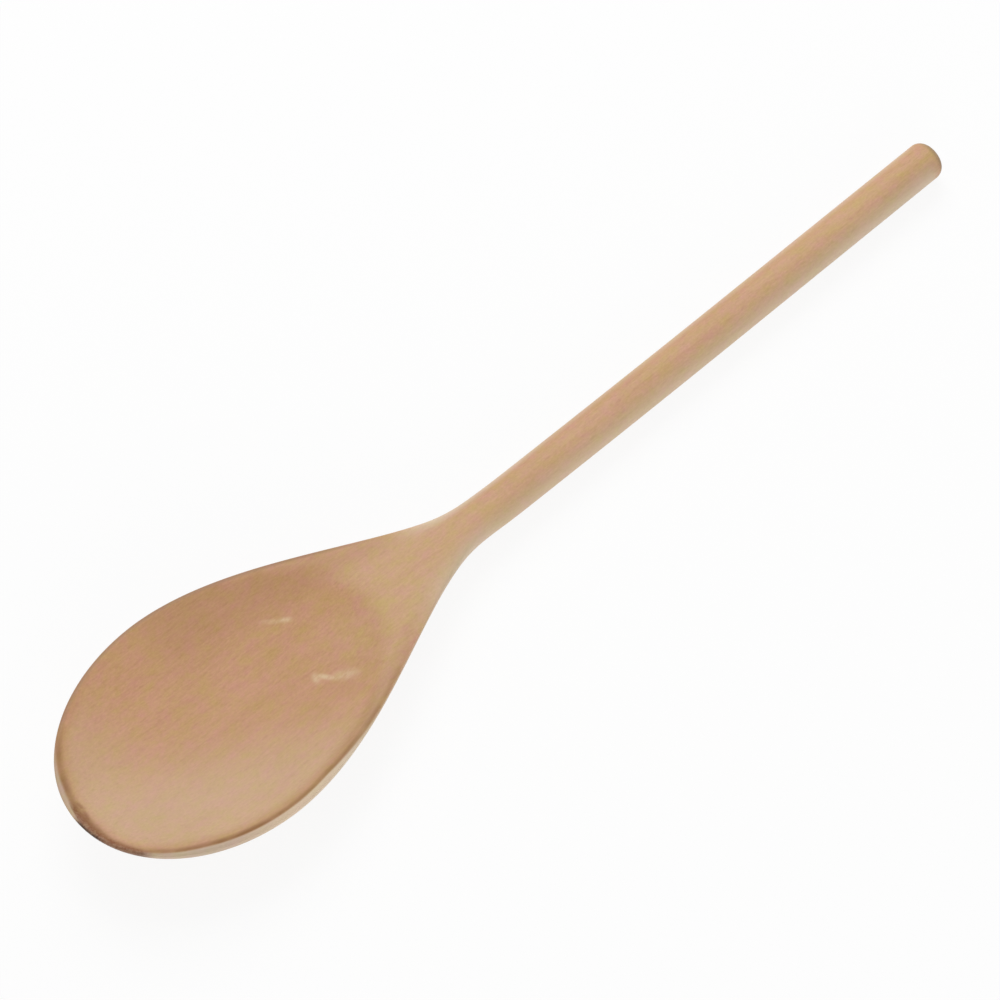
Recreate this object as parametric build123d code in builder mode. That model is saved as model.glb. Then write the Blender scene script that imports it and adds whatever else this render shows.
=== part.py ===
from build123d import *
import math
import os

os.makedirs("parts", exist_ok=True)

# Length of the spoon, and the places where its shape changes, each counted from the bowl's tip
length = 305.0
widest_from_tip = 45.0
neck_from_tip = 129.0
round_from_tip = 146.0
straight_from_tip = 230.0

# Bowl and handle across the grain
bowl_width = 69.4
handle_diameter = 11.5
end_flat_diameter = 5.1

# Blank seen from the side
tip_rise = 10.0
rim_crown = 1.4

# Hollow cut in the face of the bowl
hollow_tip_margin = 1.7
hollow_side_margin = 1.2
hollow_depth = 8.0
hollow_run_to_handle = 49.0
lip_rounding = 0.8

# Powers and proportions, which stay the same at any size
width_lateness_share = 0.94
width_fullness_share = 0.667
crown_lateness_share = 3.2
lens_lift_share = 0.5

handle_radius = handle_diameter / 2
end_rounding = handle_radius - end_flat_diameter / 2
bowl_half_width = bowl_width / 2
bend_radius = straight_from_tip**2 / (2 * tip_rise)


def fall(from_tip, end_from_tip, lateness_share):
    """1 up to the widest place, then down along a cosine to 0 at the end."""
    run = (from_tip - widest_from_tip) / (end_from_tip - widest_from_tip)
    run = min(max(run, 0.0), 1.0)
    return 0.5 + 0.5 * math.cos(math.pi * run**lateness_share)


def bowl_share(from_tip):
    """How much of the bowl's extra width is there: 1 in the bowl and 0 in the handle."""
    return fall(from_tip, neck_from_tip, width_lateness_share) ** width_fullness_share


def nose_share(from_tip):
    """Quarter ellipse that rounds the tip: 0 at the tip and 1 from the widest place on."""
    back = max(0.0, 1 - from_tip / widest_from_tip)
    return math.sqrt(1 - back**2)


def ramp(from_tip):
    """How far the blank has climbed above the straight handle, along a parabola."""
    return tip_rise * max(0.0, 1 - from_tip / straight_from_tip) ** 2


def full_crown(from_tip):
    """How far the top stands above the widest line, before the tip is rounded."""
    flat = fall(from_tip, round_from_tip, crown_lateness_share)
    return handle_radius + (rim_crown - handle_radius) * flat


def edge_height(from_tip):
    """Height of the widest line above the surface that the spoon lies on."""
    return handle_diameter + ramp(from_tip) - full_crown(from_tip)


def half_width(from_tip):
    full = handle_radius + (bowl_half_width - handle_radius) * bowl_share(from_tip)
    return nose_share(from_tip) * full


def belly(from_tip):
    """How far the underside hangs below the widest line."""
    underside = ramp(from_tip) * (1 - bowl_share(from_tip))
    return nose_share(from_tip) * (edge_height(from_tip) - underside)


def across(from_tip, height, lean=0):
    """Plane across the spoon, with its first axis level, leaning back by an angle in radians."""
    return Plane(
        origin=(from_tip - length / 2, 0, height),
        x_dir=(0, 1, 0),
        z_dir=(math.cos(lean), 0, -math.sin(lean)),
    )


def blank_section(from_tip):
    """Cross-section of the blank: two half ellipses that meet on the widest line."""
    crown = nose_share(from_tip) * full_crown(from_tip)
    with BuildSketch(across(from_tip, edge_height(from_tip))) as section:
        with BuildLine():
            EllipticalCenterArc((0, 0), half_width(from_tip), crown, start_angle=0, arc_size=180)
            EllipticalCenterArc((0, 0), half_width(from_tip), belly(from_tip), start_angle=180, arc_size=180)
        make_face()
    return section.sketch


# Stations for the sections, closest together at the tip, where the blank closes fastest
nose_steps = 9
shoulder_steps = 14
shoulder_run = round_from_tip - widest_from_tip
nose_turns = [math.pi / 2 * step / nose_steps for step in range(1, nose_steps + 1)]
stations = [widest_from_tip * (1 - math.cos(turn)) for turn in nose_turns]
stations += [widest_from_tip + shoulder_run * step / shoulder_steps for step in range(1, shoulder_steps)]

# Where the loft meets the gently bent part of the handle
bend_turn = math.asin((straight_from_tip - round_from_tip) / bend_radius)
bend_height = handle_radius + bend_radius * (1 - math.cos(bend_turn))

with BuildSketch(across(round_from_tip, bend_height, bend_turn)) as neck_end:
    with BuildLine():
        CenterArc((0, 0), handle_radius, 0, 180)
        CenterArc((0, 0), handle_radius, 180, 180)
    make_face()

# Lens that cuts the hollow: a short half towards the tip and a longer half towards the handle
lens_half_height = hollow_depth / (1 - lens_lift_share)
lens_spread = 1 / math.sqrt(1 - lens_lift_share**2)
lens_half_width = (bowl_half_width - hollow_side_margin) * lens_spread
lens_to_tip = (widest_from_tip - hollow_tip_margin) * lens_spread
lens_to_handle = hollow_run_to_handle * lens_spread

with BuildPart() as lens:
    with BuildSketch(Plane.XZ):
        with BuildLine():
            EllipticalCenterArc((0, 0), lens_to_handle, lens_half_height, start_angle=0, arc_size=90)
            EllipticalCenterArc((0, 0), lens_to_tip, lens_half_height, start_angle=90, arc_size=90)
            Line((-lens_to_tip, 0), (lens_to_handle, 0))
        make_face()
    revolve(axis=Axis.X)
    scale(by=(1, lens_half_width / lens_half_height, 1))

# The lens tilts with the rim, which climbs towards the tip
lip_share = math.sqrt(1 - (1 - hollow_side_margin / bowl_half_width) ** 2)
lip_height = edge_height(widest_from_tip) + rim_crown * lip_share
lip_climb = edge_height(hollow_tip_margin) - lip_height
lip_tilt = math.degrees(math.atan(lip_climb / (widest_from_tip - hollow_tip_margin)))
lens_height = lip_height + lens_half_height * lens_lift_share

with BuildPart() as spoon:
    # Bowl and neck, closed to a point at the tip
    tip = Vertex(-length / 2, 0, edge_height(0))
    loft(sections=[tip, *[blank_section(from_tip) for from_tip in stations], neck_end.sketch])
    # Handle: a gentle bend down from the neck, then straight to a rounded end
    with BuildSketch(across(straight_from_tip, handle_radius)):
        Circle(handle_radius)
    bend_centre = (straight_from_tip - length / 2, 0, handle_radius + bend_radius)
    revolve(axis=Axis(bend_centre, (0, 1, 0)), revolution_arc=math.degrees(bend_turn))
    with BuildSketch(across(straight_from_tip, handle_radius)):
        Circle(handle_radius)
    extrude(amount=length - straight_from_tip)
    fillet(spoon.edges().sort_by(Axis.X)[-1], end_rounding)
    # Hollow, with its lip softened
    with Locations(Location((widest_from_tip - length / 2, 0, lens_height), (0, lip_tilt, 0))):
        add(lens.part, mode=Mode.SUBTRACT)
    lip = spoon.edges(Select.LAST).sort_by(SortBy.LENGTH)[-2:]
    fillet(lip, lip_rounding)

spoon.part.label = "spoon"
export_step(spoon.part, "parts/spoon.step")
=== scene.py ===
import math

import bpy
import numpy as np
from mathutils import Matrix, Vector


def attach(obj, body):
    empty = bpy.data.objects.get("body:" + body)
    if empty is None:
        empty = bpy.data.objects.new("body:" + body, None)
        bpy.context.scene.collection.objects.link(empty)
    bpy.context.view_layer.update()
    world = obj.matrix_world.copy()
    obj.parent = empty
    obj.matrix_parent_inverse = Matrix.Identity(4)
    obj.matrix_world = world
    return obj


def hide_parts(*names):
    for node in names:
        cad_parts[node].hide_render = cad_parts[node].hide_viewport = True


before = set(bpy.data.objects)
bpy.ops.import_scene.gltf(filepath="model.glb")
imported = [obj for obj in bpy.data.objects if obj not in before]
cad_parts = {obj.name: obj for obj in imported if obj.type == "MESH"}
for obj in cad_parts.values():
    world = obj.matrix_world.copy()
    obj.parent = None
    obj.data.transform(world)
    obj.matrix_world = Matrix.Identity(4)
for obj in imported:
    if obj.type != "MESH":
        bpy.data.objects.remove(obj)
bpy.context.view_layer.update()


# Spoon
# One blank of beech, band-sawn to its outline, turned to a round handle and hollowed in the face
# of the bowl, then sanded. Grain runs from the tip to the handle's end. There is no second piece.

# Millimetres, the same sizes as the solid
length = 305.0
widest = 45.0           # from the tip to the widest place of the bowl
neck = 129.0            # where the bowl's extra width ends
round_from = 146.0      # where the section becomes a circle
straight_from = 230.0   # where the handle stops bending
bowl_half_width = 34.7
handle_radius = 5.75
end_flat_radius = 2.55
end_rounding = handle_radius - end_flat_radius
tip_rise = 10.0
rim_crown = 1.4
tip_margin = 1.7
side_margin = 1.2
hollow_depth = 8.0
hollow_run = 49.0

# Powers and shares that shape the outline, the crown and the hollow, the same as the solid's
width_lateness = 0.94
width_fullness = 0.667
crown_lateness = 3.2
lens_lift_share = 0.5

# Softer than the solid: the outline is averaged into the neck, and the lip of the hollow widens
# and fades out towards the handle
neck_soft_from = 98.0
neck_soft_to = 124.0
neck_soft_reach = 5.5
lip_soft = 0.35
shoulder_soft = 1.5
shoulder_soft_from = 55.0
shoulder_soft_run = 35.0


def fall(from_tip, end, lateness):
    """1 up to the widest place, then down along half a cosine wave to 0 at the end."""
    run = np.clip((from_tip - widest) / (end - widest), 0, 1)
    return 0.5 + 0.5 * np.cos(math.pi * run**lateness)


def ease(value, start, stop):
    """Smooth step: 0 at the start and 1 at the stop, by 3t^2 - 2t^3."""
    t = np.clip((value - start) / (stop - start), 0, 1)
    return t * t * (3 - 2 * t)


def bowl_share(from_tip):
    """How much of the bowl's extra width is there: the falling wave, kept full by a power and,
    near the neck, averaged over six places to either side."""
    reach = neck_soft_reach * ease(from_tip, neck_soft_from, neck_soft_to)
    steps = (-1, -0.6, -0.2, 0.2, 0.6, 1)
    waves = [fall(from_tip + reach * step, neck, width_lateness) for step in steps]
    return sum(wave**width_fullness for wave in waves) / len(steps)


def nose(from_tip):
    """Quarter ellipse that rounds the tip: 0 at the tip and 1 from the widest place on."""
    return np.sqrt(1 - np.clip(1 - from_tip / widest, 0, 1) ** 2)


def dome(from_tip):
    """Handle's end: 1 along the handle, then a quarter circle in to the small flat."""
    past = np.clip((from_tip - (length - end_rounding)) / end_rounding, 0, 1)
    return (end_flat_radius + end_rounding * np.sqrt(1 - past**2)) / handle_radius


def climb(from_tip):
    """Parabola by which the blank rises above the straight handle."""
    return tip_rise * np.clip(1 - from_tip / straight_from, 0, None) ** 2


def full_crown(from_tip):
    """Height of the top above the widest line: low over the bowl, the radius at the handle."""
    return handle_radius + (rim_crown - handle_radius) * fall(from_tip, round_from, crown_lateness)


def edge_height(from_tip):
    """Height of the widest line above the table."""
    return 2 * handle_radius + climb(from_tip) - full_crown(from_tip)


def half_width(from_tip):
    """Handle's radius plus the bowl's extra width, closed at the tip and at the handle's end."""
    spread = (bowl_half_width - handle_radius) * bowl_share(from_tip)
    return nose(from_tip) * dome(from_tip) * (handle_radius + spread)


def hollow_floor(from_tip, y):
    """Underside of the lens that cuts the hollow, an ellipsoid with a short half towards the tip
    and a longer half towards the handle, tilted with the rim: height at each plan point, from
    the quadratic for where an upright line meets the tilted ellipsoid, and infinite beside it."""
    rim_share = math.sqrt(1 - (1 - side_margin / bowl_half_width) ** 2)
    rim = float(edge_height(widest)) + rim_crown * rim_share
    tilt = math.atan((float(edge_height(tip_margin)) - rim) / (widest - tip_margin))
    cosine = math.cos(tilt)
    sine = math.sin(tilt)
    half_height = hollow_depth / (1 - lens_lift_share)
    spread = 1 / math.sqrt(1 - lens_lift_share**2)
    half_across = (bowl_half_width - side_margin) * spread
    ahead = from_tip - widest

    def drop_to(half_long):
        """Drop to a half of the lens, and how far along the lens it is met."""
        square = (sine / half_long) ** 2 + (cosine / half_height) ** 2
        linear = 2 * ahead * sine * cosine * (1 / half_height**2 - 1 / half_long**2)
        lengthwise = ahead**2 * ((cosine / half_long) ** 2 + (sine / half_height) ** 2)
        constant = lengthwise - 1 + (y / half_across) ** 2
        inside = linear * linear - 4 * square * constant
        drop = (-linear - np.sqrt(np.maximum(inside, 0))) / (2 * square)
        met_along = ahead * cosine - np.where(inside > 0, drop, 0) * sine
        return np.where(inside > 0, drop, np.inf), met_along

    to_tip, met_along = drop_to((widest - tip_margin) * spread)
    to_handle, _ = drop_to(hollow_run * spread)
    return rim + half_height * lens_lift_share + np.where(met_along < 0, to_tip, to_handle)


def spoon_surface(from_tip, turn):
    """Point at a distance from the tip and a turn about the section's centre. Each section is two
    half ellipses that meet on the widest line, a crown above and a belly below. The top is the
    lower of the crown and the hollow, blended over a lip that softens towards the handle."""
    close = nose(from_tip) * dome(from_tip)
    crown = close * full_crown(from_tip)
    belly = close * (edge_height(from_tip) - climb(from_tip) * (1 - bowl_share(from_tip)))
    y = half_width(from_tip) * np.cos(turn)
    up = np.sin(turn)
    z = edge_height(from_tip) + np.where(up > 0, crown, belly) * up
    floor = hollow_floor(from_tip, y)
    shoulder = np.clip((from_tip - shoulder_soft_from) / shoulder_soft_run, 0, 1)
    soft = lip_soft + shoulder_soft * shoulder**2
    blend = np.clip(soft - np.abs(z - floor), 0, None)
    cut = np.minimum(z, floor) - blend**2 / (4 * soft)
    return from_tip - length / 2, y, np.where(up > 0, cut, z)


# Stations close up at the tip, round the dents in the face and at the end, and turns are closest
# together on the face
dents_from = 68.0
dents_to = 84.0
nose_turns = np.linspace(0, math.pi / 2, 101)[1:]
end_turns = np.linspace(0, math.pi / 2, 13)
stations = np.concatenate([
    widest * (1 - np.cos(nose_turns)),
    np.linspace(widest, dents_from, 21)[1:],
    np.linspace(dents_from, dents_to, 33)[1:],
    np.linspace(dents_to, round_from, 51)[1:],
    np.linspace(round_from, length - end_rounding, 62)[1:-1],
    length - end_rounding + end_rounding * np.sin(end_turns),
])
turns = np.concatenate([
    np.linspace(0, math.pi, 201)[:-1],
    np.linspace(math.pi, 2 * math.pi, 121)[:-1],
])
from_tip, turn = np.meshgrid(stations, turns, indexing="ij")
along, sideways, height = spoon_surface(from_tip, turn)

# Quads between stations, and a fan of triangles that closes each end
rows, columns = from_tip.shape
row = np.arange(rows - 1)[:, None] * columns
spot = np.arange(columns)[None, :]
following = (spot + 1) % columns
next_row = row + columns
quads = np.stack([row + spot, row + following, next_row + following, next_row + spot], axis=-1)
last_row = (rows - 1) * columns
tip_pole = np.full(columns, rows * columns)
end_pole = tip_pole + 1
tip_fan = np.stack([tip_pole, following[0], spot[0]], axis=-1)
end_fan = np.stack([end_pole, last_row + spot[0], last_row + following[0]], axis=-1)
faces = quads.reshape(-1, 4).tolist() + tip_fan.tolist() + end_fan.tolist()

metres = 0.001
poles = [[-length / 2, 0, float(edge_height(0))], [length / 2, 0, handle_radius]]
points = np.stack([along, sideways, height], axis=-1).reshape(-1, 3)
points = np.concatenate([points, poles]) * metres

spoon_mesh = bpy.data.meshes.new("spoon_blank")
spoon_mesh.from_pydata(points.tolist(), [], faces)
spoon_mesh.polygons.foreach_set("use_smooth", [True] * len(spoon_mesh.polygons))
spoon_mesh.update()
spoon = bpy.data.objects.new("beech_spoon", spoon_mesh)
bpy.context.scene.collection.objects.link(spoon)


def inside_outline(from_tip, y):
    """Plan distance in from the outline: from the nose's ellipse, by its value over its slope,
    up to the widest place, and square to the tapering sides beyond it."""
    u = np.clip(widest - from_tip, 0, None) / widest
    v = np.abs(y) / bowl_half_width
    # The tiny numbers keep the middle of the ellipse, where both are nothing, far from the outline
    share = np.hypot(u, v) + 1e-6
    slope = np.hypot(u / widest, v / bowl_half_width) + 1e-9
    step = 0.5
    taper = (half_width(from_tip + step) - half_width(from_tip - step)) / (2 * step)
    on_side = (half_width(from_tip) - np.abs(y)) / np.sqrt(1 + taper**2)
    return np.where(from_tip < widest, (1 - share) * share / slope, on_side)


def profile(place, *pairs):
    """Straight lines between pairs of a place and the value there."""
    places, values = zip(*pairs)
    return np.interp(place, places, values)


# Marks round the rim. One side, at -y, is like the tip: a brown line just inside the lip, and the
# wall outside it pale, partly paler wood and partly painted light. The other side has only a thin
# brown edge. A margin counts in from the outline on the face, and below_rim down the wall. Places
# round the rim count in degrees from the tip to the widest place of the -y side, and on in
# millimetres along that side.
on_face = np.sin(turn) > 0
margin = np.where(on_face, inside_outline(from_tip, sideways), 0)
below_rim = np.where(on_face, 0, edge_height(from_tip) - height)
tipwards = np.clip(widest - from_tip, 0, None) / widest
share_across = sideways / np.maximum(half_width(from_tip), 0.01)
round_tip = np.degrees(np.arctan2(-sideways / bowl_half_width, tipwards))
rim_place = round_tip + np.clip(from_tip - widest, 0, None)
plus_y_side_place = -90.0
rim_place = np.where((sideways > 0) & (from_tip > widest), plus_y_side_place, rim_place)

# Brown line inside the lip, with its middle some way in from the outline and painted shade on the
# slope inside it, then a faint painted shade along the other side, and the thin edge there
line_middle = profile(
    rim_place, (-45, 0.4), (-38, 0.5), (-33, 0.8), (-26, 1.2), (-17, 1.8), (3, 2.1), (10, 1.9),
    (18, 1.2), (31, 1.1), (40, 1.3), (55, 2.0), (92, 1.8), (101, 1.9), (109, 1.2), (117, 0.7), (125, 0.5))
line_strength = profile(
    rim_place, (-45, 0.0), (-38, 0.7), (-17, 0.85), (5, 0.8), (14, 0.5), (30, 0.5), (40, 0.85),
    (55, 1.15), (75, 1.1), (92, 0.8), (117, 0.75), (130, 0.6), (145, 0.0))
# Painted shade on the hollow's slope just inside the line
inner_shade_strength = profile(
    rim_place, (30, 0.0), (45, 0.22), (100, 0.2), (120, 0.36), (130, 0.3), (155, 0.0))
fade_out = 0.9
fade_in = 2.0
inner_shade_width = 5.0
line = ease(margin, line_middle - fade_out, line_middle - 0.05)
line = line * ease(margin, line_middle + fade_in, line_middle + 0.1)
inner_shade = inner_shade_strength * ease(margin, line_middle - 0.3, line_middle)
inner_shade = inner_shade * ease(margin, line_middle + inner_shade_width, line_middle + 1)
# Painted shade along the +y side of the face
shade_strength = 0.2
shade = shade_strength * ease(share_across, 0.25, 0.8)
shade = shade * ease(from_tip, 38, 55) * ease(from_tip, 122, 105)
line = np.maximum(line * line_strength, np.maximum(inner_shade, shade)) * on_face
thin_edge = ease(margin, 1.5, 0.45) * ease(below_rim, 0.8, 0.2) * ease(rim_place, -38, -46)
thin_edge = thin_edge * ease(from_tip, 120, 90)

# Wall outside the lip: pale and greyed by smoke round the tip, and palest and cleaner under the
# bowl's -y side, where the paleness is partly paler wood and partly painted light. Both sides of
# the neck and handle are painted paler too: painted light down the -y side and a painted highlight
# along the +y edge. The face is painted lighter by the -y side and by the tip, a little. Lean
# counts aslant across the face, nearly straight away from the camera, and is below nothing on its
# -y part, nearest the camera.
# Paleness of the wall: partly paler wood, partly painted light on the -y side
pale_and_lit_strength = profile(
    rim_place, (-45, 0.0), (-33, 0.3), (-17, 0.42), (3, 0.3), (23, 0.3), (31, 0.42), (55, 0.5),
    (70, 0.5), (101, 0.58), (109, 0.7), (117, 0.5), (125, 0.3), (145, 0.2))
pale_and_lit = pale_and_lit_strength * ease(margin, line_middle - 0.1, line_middle - 0.7) * ease(below_rim, 9.0, 4.0)
smoke = ease(rim_place, 92, 55) * ease(from_tip, 60, 45) * ease(margin, line_middle + 0.6, line_middle)
turn_degrees = np.degrees(turn)
# Painted light down the -y side of the neck and handle
lit_flank = ease(turn_degrees, 100, 190) * ease(turn_degrees, 255, 225)
lit_flank = lit_flank * profile(
    from_tip, (98, 0.0), (113, 0.5), (125, 0.62), (140, 0.45), (240, 0.48), (299, 0.64), (303, 0.0))
# Painted highlight along the +y edge of the neck and handle
highlit_flank = profile(
    from_tip, (112, 0.0), (124, 0.55), (150, 0.5), (165, 0.32), (299, 0.32), (303, 0.0))
highlit_flank = highlit_flank * ease(share_across, 0.35, 0.9) * ease(below_rim, 2.5, 0)
bowl_to = 110
# Face painted lighter by the -y side and by the tip: painted light
side_light = 0.16
tip_light = 0.14
lean = sideways + 0.5 * (along + 105)
lit_face = np.maximum(side_light * ease(lean, 0, -26), tip_light * ease(from_tip, 32, 8))
lit_face = lit_face * ease(margin, line_middle + 0.5, line_middle + 4) * on_face
pale_and_lit = np.where(from_tip < bowl_to, np.maximum(pale_and_lit, lit_face), 0)
pale_and_lit = np.maximum(pale_and_lit, np.maximum(lit_flank, highlit_flank))

# The hollow is darker, partly with colour from cooking and partly with painted shade, and less so
# towards the tip, by the -y side and at its shoulder end, where the lighter wood is painted light.
# The +y side's rim and the +y upper side of the handle have painted shade.
depth = edge_height(from_tip) + nose(from_tip) * full_crown(from_tip) * np.sin(turn) - height
# Painted shade along the +y rim of the face
other_rim_shade = ease(share_across, 0.3, 0.8) * ease(from_tip, 115, 90)
least_stain_where_lit = 0.35
lit_shoulder_loss = 0.6
handle_shade_strength = 0.6
# Darker with depth in the hollow: cooking stain and painted shade
stain_and_shade = np.maximum(ease(depth, 0.2, 1.6), other_rim_shade) * on_face
# Lighter towards -y and the tip, and at the shoulder end on -y: painted light
stain_and_shade = stain_and_shade * (least_stain_where_lit + (1 - least_stain_where_lit) * ease(lean, -26, 6))
stain_and_shade = stain_and_shade * (1 - lit_shoulder_loss * ease(along, -80, -64) * ease(sideways, 8, -6))
# Painted shade on the +y upper side of the handle
handle_shade = handle_shade_strength * ease(turn_degrees, 100, 60) * ease(turn_degrees, 5, 25)
stain_and_shade = np.maximum(stain_and_shade, handle_shade * ease(from_tip, 118, 135))


def streak(middle, degrees, half_long, half_wide):
    """Soft-ended ellipse in plan, turned by an angle: 1 at its middle and 0 from its outline on."""
    cosine = math.cos(math.radians(degrees))
    sine = math.sin(math.radians(degrees))
    ahead = along - middle[0]
    beside = sideways - middle[1]
    lengthwise = (ahead * cosine + beside * sine) / half_long
    crosswise = (beside * cosine - ahead * sine) / half_wide
    return ease(np.hypot(lengthwise, crosswise), 1.0, 0.2)


# At the tip the worn lip is scorched, where it has scraped hot pans, and charred at its very edge.
# The burn runs unevenly, a few millimetres down the wall and in over the face, where it starts
# sooner than on the wall and has two short spurs.
scorch_reach = profile(rim_place, (-14, 3.0), (0, 3.3), (10, 3.1), (16, 2.6), (24, 2.3), (37, 1.7))
scorch_depth = profile(
    rim_place, (-13, 1.0), (-4, 3.5), (3, 5.5), (9, 6.0), (16, 4.2), (23, 4.8), (30, 5.6), (35, 3.6),
    (39, 1.5))
face_start = -11
wall_start = -2
scorch_end = 38
scorch_start = face_start + (wall_start - face_start) * ease(margin, 1.2, 0.4)
scorch = ease(rim_place, scorch_start, scorch_start + 7) * ease(rim_place, scorch_end, 30)
scorch = scorch * ease(margin, scorch_reach, 0.4 * scorch_reach)
scorch = scorch * ease(below_rim, scorch_depth + 1.5, 0.5 * scorch_depth)
short_spur = streak((-149.1, 2.8), degrees=-80, half_long=2.2, half_wide=0.8)
long_spur = streak((-149.6, -0.4), degrees=78, half_long=3.2, half_wide=0.9)
scorch = np.maximum(scorch, 0.6 * np.maximum(short_spur, long_spur) * on_face)
char_strength = profile(
    rim_place, (-2, 0.0), (3, 1.0), (13, 0.85), (17, 0.28), (29, 0.28), (32, 0.48), (37, 0.0))
char = char_strength * ease(margin, 0.9, 0.1)
char = char * ease(below_rim, scorch_depth - 0.8, 0.4 * scorch_depth)

# Two dents where the face was knocked and paler wood shows: the larger one is a scratch with a
# torn end towards the tip and a broad, shallow patch at its other end
scratch = streak((-78.3, -8.6), degrees=-55, half_long=5.0, half_wide=1.1)
shallow_patch = 0.65 * streak((-74.2, -12.0), degrees=-37, half_long=5.4, half_wide=2.4)
torn_end = 0.8 * streak((-80.5, -7.0), degrees=-112, half_long=2.6, half_wide=1.5)
small_dent = 0.9 * streak((-76.0, 11.2), degrees=-34, half_long=2.6, half_wide=1.2)
small_tail = 0.45 * streak((-78.9, 13.2), degrees=-38, half_long=5.0, half_wide=1.0)
dents = np.maximum.reduce([scratch, shallow_patch, torn_end, small_dent, small_tail]) * on_face

# Each mark goes into the mesh under its own name, with painted light and painted shade among them.
# The tip's pole takes the mean of the ring round it, and the pole at the end is unmarked.
marks = {"lip_line_and_shade": line, "thin_edge": thin_edge, "pale_wall_and_lit": pale_and_lit, "smoke": smoke,
        "stain_and_shade": stain_and_shade, "scorch": scorch, "char": char, "dents": dents}
for name, amount in marks.items():
    layer = spoon_mesh.attributes.new(name, "FLOAT", "POINT")
    values = np.append(amount.reshape(-1), [amount[0].mean(), 0])
    layer.data.foreach_set("value", values.astype(np.float32))


def colour(hex_code):
    """sRGB hex to linear RGBA."""
    parts = [int(hex_code[i:i + 2], 16) / 255 for i in (1, 3, 5)]
    return [p / 12.92 if p <= 0.04045 else ((p + 0.055) / 1.055) ** 2.4 for p in parts] + [1.0]


def add(tree, kind, inputs=None, out=0, **settings):
    """Adds a node, sets its settings, fills or links its inputs, and returns one output if any."""
    node = tree.nodes.new(kind)
    for name, value in settings.items():
        setattr(node, name, value)
    for key, value in (inputs or {}).items():
        if isinstance(value, bpy.types.NodeSocket):
            tree.links.new(value, node.inputs[key])
        else:
            node.inputs[key].default_value = value
    return node.outputs[out] if node.outputs else node


# Beech, sawn and sanded, bare: even pinkish tan, matt, with soft growth rings, short brown flecks
# and fine fibres along the grain. The vectors below are grain sizes in mm, along and across it.
dark_beech = colour("#AE8159")
pale_beech = colour("#DAB58C")
yellow_beech = colour("#C0A65F")
pink_beech = colour("#CF978B")
# Tint for the cooking stain and the painted shade
stain_and_shade_tint = colour("#FAF0ED")
# Pale colour for the paler wall, and for painted light and a painted highlight
pale_lit_beech = colour("#E0D3BC")
smoked_beech = colour("#B4B0A4")
# Brown for the line inside the lip and for the painted shade beside it
line_and_shade_brown = colour("#8A623A")
browned_edge = colour("#8A6A50")
scorched_beech = colour("#7A441C")
charred_beech = colour("#2C241F")
torn_beech = colour("#E3CDA6")
# Colour for the end grain and the painted shade on the rounded end
end_grain_and_shade_beech = colour("#85705A")
beech = bpy.data.materials.new("beech_sanded")
beech.use_nodes = True
tree = beech.node_tree
tree.nodes.clear()
place = add(tree, "ShaderNodeTexCoord", out="Object")
mm = add(tree, "ShaderNodeVectorMath", {0: place, "Scale": 1 / metres}, operation="SCALE")
mm_along = add(tree, "ShaderNodeSeparateXYZ", {0: mm}, out="X")

# Growth rings about a pith that lay 66 mm below the spoon and 58 mm beside it. They wander by a
# few millimetres, run out of the face slowly, and darken to a thin line before the next one starts.
ring_spacing = 2.3
from_pith = add(tree, "ShaderNodeVectorMath", {0: mm, 1: (0.0, 58.0, 66.0)}, operation="ADD")
squarely = add(tree, "ShaderNodeVectorMath", {0: from_pith, 1: (0.0, 1.0, 1.0)}, operation="MULTIPLY")
pith_distance = add(tree, "ShaderNodeVectorMath", {0: squarely}, out="Value", operation="LENGTH")
run_out = add(tree, "ShaderNodeMath", {0: mm_along, 1: 0.07, 2: pith_distance}, operation="MULTIPLY_ADD")
sway_size = add(tree, "ShaderNodeVectorMath", {0: mm, 1: (80.0, 18.0, 18.0)}, operation="DIVIDE")
sway = add(tree, "ShaderNodeTexNoise", {"Vector": sway_size, "Scale": 1.0, "Detail": 2.0})
ring_place = add(tree, "ShaderNodeMath", {0: sway, 1: 7.0, 2: run_out}, operation="MULTIPLY_ADD")
ring_count = add(tree, "ShaderNodeMath", {0: ring_place, 1: ring_spacing}, operation="DIVIDE")
ring_share = add(tree, "ShaderNodeMath", {0: ring_count}, operation="FRACT")
late_wood = add(tree, "ShaderNodeMapRange", {
    "Value": ring_share, "From Min": 0.25, "From Max": 0.92}, interpolation_type="SMOOTHSTEP")
early_wood = add(tree, "ShaderNodeMapRange", {
    "Value": ring_share, "From Min": 1.0, "From Max": 0.92}, interpolation_type="SMOOTHSTEP")
ring_line = add(tree, "ShaderNodeMath", {0: late_wood, 1: early_wood}, operation="MULTIPLY")
fade_size = add(tree, "ShaderNodeVectorMath", {0: mm, 1: (45.0, 9.0, 9.0)}, operation="DIVIDE")
fade = add(tree, "ShaderNodeTexNoise", {"Vector": fade_size, "Scale": 1.0, "Detail": 2.0})
ring_strength = add(tree, "ShaderNodeMapRange", {
    "Value": fade, "From Min": 0.35, "From Max": 0.7, "To Min": 0.15}, interpolation_type="SMOOTHSTEP")
rings = add(tree, "ShaderNodeMath", {0: ring_line, 1: ring_strength}, operation="MULTIPLY")

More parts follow.
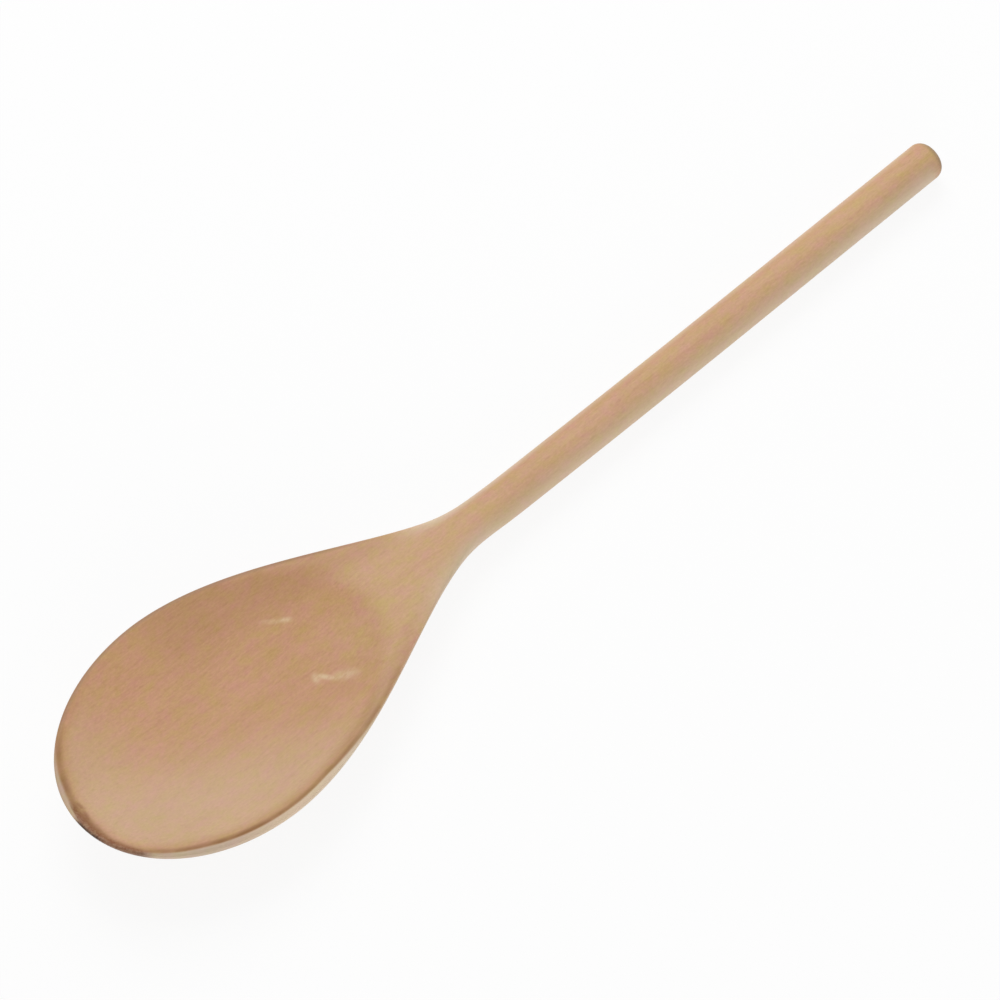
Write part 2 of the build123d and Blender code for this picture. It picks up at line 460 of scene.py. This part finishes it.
# Fibres and pores about 0.5 mm across, coarser than real ones so that they show, and ray flecks
# about 1 mm across
fibre_size = add(tree, "ShaderNodeVectorMath", {0: mm, 1: (5.0, 0.55, 0.55)}, operation="DIVIDE")
fibres = add(tree, "ShaderNodeTexNoise", {
    "Vector": fibre_size, "Scale": 1.0, "Detail": 3.0, "Roughness": 0.7})
pore_size = add(tree, "ShaderNodeVectorMath", {0: mm, 1: (0.9, 0.5, 0.5)}, operation="DIVIDE")
pores = add(tree, "ShaderNodeTexNoise", {
    "Vector": pore_size, "Scale": 1.0, "Detail": 2.0, "Roughness": 0.6})
fleck_size = add(tree, "ShaderNodeVectorMath", {0: mm, 1: (4.6, 1.25, 1.25)}, operation="DIVIDE")
fleck_cells = add(tree, "ShaderNodeTexVoronoi", {"Vector": fleck_size, "Scale": 1.0}, feature="F1")
flecks = add(tree, "ShaderNodeMapRange", {
    "Value": fleck_cells, "From Min": 0.34, "From Max": 0.12}, interpolation_type="SMOOTHSTEP")
patch_size = add(tree, "ShaderNodeVectorMath", {0: mm, 1: (26.0, 9.0, 9.0)}, operation="DIVIDE")
patches = add(tree, "ShaderNodeTexNoise", {"Vector": patch_size, "Scale": 1.0, "Detail": 2.0})

# Tone of the wood from 0, dark, to 1, pale: each part pulls it down or up about a middle tone
tone = add(tree, "ShaderNodeMath", {0: rings, 1: -0.13, 2: -0.64}, operation="MULTIPLY_ADD")
tone = add(tree, "ShaderNodeMath", {0: fibres, 1: 1.1, 2: tone}, operation="MULTIPLY_ADD")
tone = add(tree, "ShaderNodeMath", {0: pores, 1: 0.95, 2: tone}, operation="MULTIPLY_ADD")
tone = add(tree, "ShaderNodeMath", {0: flecks, 1: -0.18, 2: tone}, operation="MULTIPLY_ADD")
tone = add(tree, "ShaderNodeMath", {0: patches, 1: 0.55, 2: tone}, operation="MULTIPLY_ADD")
wood = add(tree, "ShaderNodeMix", {0: tone, 6: dark_beech, 7: pale_beech}, out=2, data_type="RGBA")

# Beech is pinker in one patch and yellower in the next, over 3 to 5 mm
hue_size = add(tree, "ShaderNodeVectorMath", {0: mm, 1: (4.8, 3.4, 3.4)}, operation="DIVIDE")
hue_noise = add(tree, "ShaderNodeTexNoise", {
    "Vector": hue_size, "Scale": 1.0, "Detail": 3.0, "Roughness": 0.65})
pinkness = add(tree, "ShaderNodeMapRange", {"Value": hue_noise, "From Min": 0.3, "From Max": 0.7})
hue = add(tree, "ShaderNodeMix", {0: pinkness, 6: yellow_beech, 7: pink_beech}, out=2, data_type="RGBA")
hue_share = 0.52
wood = add(tree, "ShaderNodeMix", {0: hue_share, 6: wood, 7: hue}, out=2, data_type="RGBA")

# Stain with painted shade, pale walls with painted light and a painted highlight, and smoke
stain_and_shade_share = add(tree, "ShaderNodeAttribute", out="Fac", attribute_name="stain_and_shade")
wood = add(tree, "ShaderNodeMix", {
    0: stain_and_shade_share, 6: wood, 7: stain_and_shade_tint}, out=2, data_type="RGBA", blend_type="MULTIPLY")
# Pale wall with painted light on the -y side and a painted highlight on the +y edge
pale_wall_and_lit = add(tree, "ShaderNodeAttribute", out="Fac", attribute_name="pale_wall_and_lit")
smoked = add(tree, "ShaderNodeAttribute", out="Fac", attribute_name="smoke")
pale_and_lit_colour = add(tree, "ShaderNodeMix", {
    0: smoked, 6: pale_lit_beech, 7: smoked_beech}, out=2, data_type="RGBA")
wood = add(tree, "ShaderNodeMix", {0: pale_wall_and_lit, 6: wood, 7: pale_and_lit_colour}, out=2, data_type="RGBA")

# Brown line inside the lip with the painted shade beside it, smeared unevenly over 4 to 6 mm, and
# the thin brown edge
lip_line_and_shade = add(tree, "ShaderNodeAttribute", out="Fac", attribute_name="lip_line_and_shade")
smear_size = add(tree, "ShaderNodeVectorMath", {0: mm, 1: (6.0, 4.0, 4.0)}, operation="DIVIDE")
smear = add(tree, "ShaderNodeTexNoise", {"Vector": smear_size, "Scale": 1.0, "Detail": 2.0})
smear_share = add(tree, "ShaderNodeMapRange", {
    "Value": smear, "From Min": 0.2, "From Max": 0.6, "To Min": 0.55, "To Max": 0.9},
    interpolation_type="SMOOTHSTEP")
line_share = add(tree, "ShaderNodeMath", {0: lip_line_and_shade, 1: smear_share}, operation="MULTIPLY")
wood = add(tree, "ShaderNodeMix", {0: line_share, 6: wood, 7: line_and_shade_brown}, out=2, data_type="RGBA")
edge_line = add(tree, "ShaderNodeAttribute", out="Fac", attribute_name="thin_edge")
edge_share = add(tree, "ShaderNodeMath", {0: edge_line, 1: 0.5}, operation="MULTIPLY")
wood = add(tree, "ShaderNodeMix", {0: edge_share, 6: wood, 7: browned_edge}, out=2, data_type="RGBA")

# Scorch is brown, uneven in grains under a millimetre, and its charred edge breaks up into grains
scorched = add(tree, "ShaderNodeAttribute", out="Fac", attribute_name="scorch")
charred = add(tree, "ShaderNodeAttribute", out="Fac", attribute_name="char")
char_size = add(tree, "ShaderNodeVectorMath", {0: mm, 1: (0.9, 0.7, 0.7)}, operation="DIVIDE")
char_noise = add(tree, "ShaderNodeTexNoise", {
    "Vector": char_size, "Scale": 1.0, "Detail": 3.0, "Roughness": 0.7})
brown = add(tree, "ShaderNodeMapRange", {
    "Value": char_noise, "From Min": 0.3, "From Max": 0.65, "To Min": 0.5, "To Max": 0.95})
brown_share = add(tree, "ShaderNodeMath", {0: scorched, 1: brown}, operation="MULTIPLY")
wood = add(tree, "ShaderNodeMix", {0: brown_share, 6: wood, 7: scorched_beech}, out=2, data_type="RGBA")
black = add(tree, "ShaderNodeMapRange", {
    "Value": char_noise, "From Min": 0.3, "From Max": 0.65, "To Min": 0.55, "To Max": 1.0},
    interpolation_type="SMOOTHSTEP")
black_share = add(tree, "ShaderNodeMath", {0: charred, 1: black}, operation="MULTIPLY")
wood = add(tree, "ShaderNodeMix", {0: black_share, 6: wood, 7: charred_beech}, out=2, data_type="RGBA")

# Dents are broken lengthwise by the fibres that they tore
dented = add(tree, "ShaderNodeAttribute", out="Fac", attribute_name="dents")
tear_size = add(tree, "ShaderNodeVectorMath", {0: mm, 1: (2.4, 0.7, 0.7)}, operation="DIVIDE")
tear_noise = add(tree, "ShaderNodeTexNoise", {
    "Vector": tear_size, "Scale": 1.0, "Detail": 3.0, "Roughness": 0.7})
tears = add(tree, "ShaderNodeMapRange", {
    "Value": tear_noise, "From Min": 0.38, "From Max": 0.6, "To Min": 0.32, "To Max": 0.68},
    interpolation_type="SMOOTHSTEP")
dent_share = add(tree, "ShaderNodeMath", {0: dented, 1: tears}, operation="MULTIPLY")
wood = add(tree, "ShaderNodeMix", {0: dent_share, 6: wood, 7: torn_beech}, out=2, data_type="RGBA")

# End grain on the rounded end soaks up more and looks darker and greyer; the darkening is partly
# painted shade where the end curves away
end_shade_from = length / 2 - 2.9
end_shade_full = length / 2 - 0.6
end_grain_and_shade = add(tree, "ShaderNodeMapRange", {
    "Value": mm_along, "From Min": end_shade_from, "From Max": end_shade_full, "To Max": 0.6},
    interpolation_type="SMOOTHSTEP")
wood = add(tree, "ShaderNodeMix", {0: end_grain_and_shade, 6: wood, 7: end_grain_and_shade_beech}, out=2, data_type="RGBA")

# Sanded surface: raised fibres, rings a little lower, and a matt gloss that varies with the fibres
relief = add(tree, "ShaderNodeMath", {0: rings, 1: -0.3, 2: fibres}, operation="MULTIPLY_ADD")
bump = add(tree, "ShaderNodeBump", {"Strength": 0.35, "Distance": 0.12 * metres, "Height": relief})
roughness = add(tree, "ShaderNodeMapRange", {
    "Value": fibres, "From Min": 0.3, "From Max": 0.7, "To Min": 0.52, "To Max": 0.66})
surface = add(tree, "ShaderNodeBsdfPrincipled", {
    "Base Color": wood, "Roughness": roughness, "IOR": 1.5, "Specular IOR Level": 0.35, "Normal": bump})
add(tree, "ShaderNodeOutputMaterial", {"Surface": surface})
spoon_mesh.materials.append(beech)

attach(spoon, "root")
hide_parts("spoon")


# Table
# Sheet of matt white paper that the spoon lies on, wide enough to reach past the picture. It lies
# a tenth of a millimetre low, so that it never meets the spoon's underside.
reach = 3.0
sheet_height = -0.1 * metres
corners = [(-reach, -reach), (reach, -reach), (reach, reach), (-reach, reach)]
sheet_mesh = bpy.data.meshes.new("white_sheet")
sheet_mesh.from_pydata([(x, y, sheet_height) for x, y in corners], [], [(0, 1, 2, 3)])
sheet = bpy.data.objects.new("white_sheet", sheet_mesh)
bpy.context.scene.collection.objects.link(sheet)

# White paper, which the camera and glossy and clear things see mostly at full white, and for the
# rest as paper with the spoon's shadow on it
full_white_share = 0.9
paper = bpy.data.materials.new("white_paper")
paper.use_nodes = True
leaf = paper.node_tree
leaf.nodes.clear()
camera_ray = add(leaf, "ShaderNodeLightPath", out="Is Camera Ray")
glossy_ray = add(leaf, "ShaderNodeLightPath", out="Is Glossy Ray")
clear_ray = add(leaf, "ShaderNodeLightPath", out="Is Transmission Ray")
seen = add(leaf, "ShaderNodeMath", {0: camera_ray, 1: glossy_ray}, operation="MAXIMUM")
seen = add(leaf, "ShaderNodeMath", {0: seen, 1: clear_ray}, operation="MAXIMUM")
seen_share = add(leaf, "ShaderNodeMath", {0: seen, 1: full_white_share}, operation="MULTIPLY")
matt = add(leaf, "ShaderNodeBsdfDiffuse", {"Color": colour("#F7F7F7")})
bright = add(leaf, "ShaderNodeEmission", {"Color": colour("#FFFFFF"), "Strength": 1.0})
sheet_look = add(leaf, "ShaderNodeMixShader", {0: seen_share, 1: matt, 2: bright})
add(leaf, "ShaderNodeOutputMaterial", {"Surface": sheet_look})
sheet_mesh.materials.append(paper)


# Light
# A light tent: even soft light from all round, with a large softbox high behind the spoon and a
# smaller one low in front of it. The tent's cloth looks white to the camera.
tent_strength = 0.385
world = bpy.data.worlds.new("light_tent")
bpy.context.scene.world = world
world.use_nodes = True
sky = world.node_tree
sky.nodes.clear()
camera_ray = add(sky, "ShaderNodeLightPath", out="Is Camera Ray")
glossy_ray = add(sky, "ShaderNodeLightPath", out="Is Glossy Ray")
clear_ray = add(sky, "ShaderNodeLightPath", out="Is Transmission Ray")
seen = add(sky, "ShaderNodeMath", {0: camera_ray, 1: glossy_ray}, operation="MAXIMUM")
seen = add(sky, "ShaderNodeMath", {0: seen, 1: clear_ray}, operation="MAXIMUM")
tent = add(sky, "ShaderNodeBackground", {"Color": colour("#FFFFFF"), "Strength": tent_strength})
white = add(sky, "ShaderNodeBackground", {"Color": colour("#FFFFFF"), "Strength": 1.0})
tent_look = add(sky, "ShaderNodeMixShader", {0: seen, 1: tent, 2: white})
add(sky, "ShaderNodeOutputWorld", {"Surface": tent_look})

# The camera's own directions on the table: across the picture, and away from the camera
slant = math.radians(33.7)
across = Vector((math.cos(slant), -math.sin(slant), 0))
away = Vector((math.sin(slant), math.cos(slant), 0))


def softbox(name, behind, above, size, power):
    """Square area light, so far behind and above the spoon in metres, turned to face it."""
    lamp = bpy.data.lights.new(name, "AREA")
    lamp.shape = "SQUARE"
    lamp.size = size
    lamp.energy = power
    holder = bpy.data.objects.new(name, lamp)
    holder.location = away * behind + Vector((0, 0, above))
    holder.rotation_euler = (-holder.location).to_track_quat("-Z", "Y").to_euler()
    bpy.context.scene.collection.objects.link(holder)


softbox("softbox_behind", behind=0.95, above=1.1, size=1.0, power=14.3)
softbox("softbox_front", behind=-1.2, above=0.2, size=0.8, power=8.0)


# Camera
# Looks down on the spoon from 63 degrees and 0.79 m, and is rolled a little. The aim is counted
# from the tip, across the picture and away from the camera, and lies at the spoon's neck.
distance = 0.792
elevation = math.radians(63.208)
roll = math.radians(8.191)
pixels_per_mm = 3.6959
aim_across = 118.234
aim_away = 80.240
tip_place = Vector((-length / 2, 0, handle_radius))
aim = (across * aim_across + away * aim_away + tip_place) * metres
look = away * math.cos(elevation) - Vector((0, 0, math.sin(elevation)))
upright = away * math.sin(elevation) + Vector((0, 0, math.cos(elevation)))
right = across * math.cos(roll) - upright * math.sin(roll)
top = across * math.sin(roll) + upright * math.cos(roll)

sensor_width = 36.0
picture_width = 1000
camera = bpy.data.cameras.new("camera")
camera.sensor_width = sensor_width
camera.lens = pixels_per_mm * distance / metres * sensor_width / picture_width
camera.clip_start = 0.01
tripod = bpy.data.objects.new("camera", camera)
turned = Matrix((right, top, -look)).transposed().to_4x4()
tripod.matrix_world = Matrix.Translation(aim - look * distance) @ turned
bpy.context.scene.collection.objects.link(tripod)
bpy.context.scene.camera = tripod

bpy.context.scene.view_settings.view_transform = "Standard"

bpy.context.view_layer.update()
